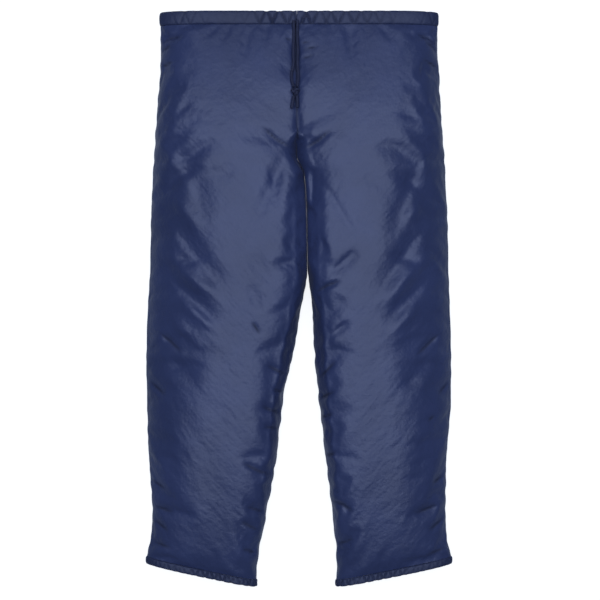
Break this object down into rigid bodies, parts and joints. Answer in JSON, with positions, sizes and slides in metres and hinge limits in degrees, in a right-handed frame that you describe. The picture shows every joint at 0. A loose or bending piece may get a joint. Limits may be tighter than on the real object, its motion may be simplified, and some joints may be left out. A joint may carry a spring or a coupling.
{
  "type": "chainsaw chaps",
  "caption": "Padded protective over-trousers for chainsaw work, lying flat, with quilted layers inside, a gathered drawcord waist and elasticated slanted hems.",
  "frame": {"origin": "under the middle of the garment, on the surface that its back lies on", "axes": "+Y runs to the waist, +Z is the front of the garment, the wearer's right leg is at -X"},
  "size_m": [0.576, 1.078, 0.1014],
  "materials": {
    "shell_nylon": "satin woven nylon",
    "protective_knit": "loose warp knit",
    "wadding": "fluffy polyester wadding",
    "lining": "smooth taffeta",
    "elastic": "ribbed elastic",
    "label_tape": "woven tape, blank",
    "cord_braid": "flat braided cord"
  },
  "bodies": {
    "seat": {"right_seat_front_shell": "shell_nylon", "right_seat_pad_outer_plies": "protective_knit", "right_seat_pad_inner_plies": "protective_knit", "right_seat_front_lining": "lining", "right_seat_back_shell": "shell_nylon", "right_seat_back_wadding": "wadding", "right_seat_back_lining": "lining", "left_seat_front_shell": "shell_nylon", "left_seat_pad_outer_plies": "protective_knit", "left_seat_pad_inner_plies": "protective_knit", "left_seat_front_lining": "lining", "left_seat_back_shell": "shell_nylon", "left_seat_back_wadding": "wadding", "left_seat_back_lining": "lining", "waist_casing_front_right": "shell_nylon", "waist_casing_front_left": "shell_nylon", "waist_casing_back": "shell_nylon", "drawcord_in_casing": "cord_braid", "care_label": "label_tape"},
    "right_thigh": {"right_thigh_front_shell": "shell_nylon", "right_thigh_pad_outer_plies": "protective_knit", "right_thigh_pad_inner_plies": "protective_knit", "right_thigh_front_lining": "lining", "right_thigh_back_shell": "shell_nylon", "right_thigh_back_wadding": "wadding", "right_thigh_back_lining": "lining"},
    "right_shin": {"right_shin_front_shell": "shell_nylon", "right_shin_pad_outer_plies": "protective_knit", "right_shin_pad_inner_plies": "protective_knit", "right_shin_front_lining": "lining", "right_shin_back_shell": "shell_nylon", "right_shin_back_wadding": "wadding", "right_shin_back_lining": "lining", "right_hem_casing_front": "shell_nylon", "right_hem_casing_back": "shell_nylon", "right_hem_elastic": "elastic"},
    "left_thigh": {"left_thigh_front_shell": "shell_nylon", "left_thigh_pad_outer_plies": "protective_knit", "left_thigh_pad_inner_plies": "protective_knit", "left_thigh_front_lining": "lining", "left_thigh_back_shell": "shell_nylon", "left_thigh_back_wadding": "wadding", "left_thigh_back_lining": "lining"},
    "left_shin": {"left_shin_front_shell": "shell_nylon", "left_shin_pad_outer_plies": "protective_knit", "left_shin_pad_inner_plies": "protective_knit", "left_shin_front_lining": "lining", "left_shin_back_shell": "shell_nylon", "left_shin_back_wadding": "wadding", "left_shin_back_lining": "lining", "left_hem_casing_front": "shell_nylon", "left_hem_casing_back": "shell_nylon", "left_hem_elastic": "elastic"},
    "drawcord_tails": {"drawcord_strand_right": "cord_braid", "drawcord_strand_left": "cord_braid", "drawcord_end_right": "cord_braid", "drawcord_end_left": "cord_braid", "drawcord_knot": "cord_braid"}
  },
  "joints": [
    {"name": "right_hip_fold", "type": "hinge", "parent": "seat", "child": "right_thigh", "pos_m": [-0.13, 0.26, 0.1005], "axis": [-1, 0, 0], "range_deg": [0, 100]},
    {"name": "left_hip_fold", "type": "hinge", "parent": "seat", "child": "left_thigh", "pos_m": [0.142, 0.26, 0.1005], "axis": [-1, 0, 0], "range_deg": [0, 100]},
    {"name": "right_knee_fold", "type": "hinge", "parent": "right_thigh", "child": "right_shin", "pos_m": [-0.15, -0.113, 0.0925], "axis": [-1, 0, 0], "range_deg": [0, 120]},
    {"name": "left_knee_fold", "type": "hinge", "parent": "left_thigh", "child": "left_shin", "pos_m": [0.159, -0.113, 0.0925], "axis": [-1, 0, 0], "range_deg": [0, 120]},
    {"name": "drawcord_lift", "type": "hinge", "parent": "seat", "child": "drawcord_tails", "pos_m": [-0.0065, 0.519, 0.0529], "axis": [-1, 0, 0], "range_deg": [0, 90]}
  ]
}
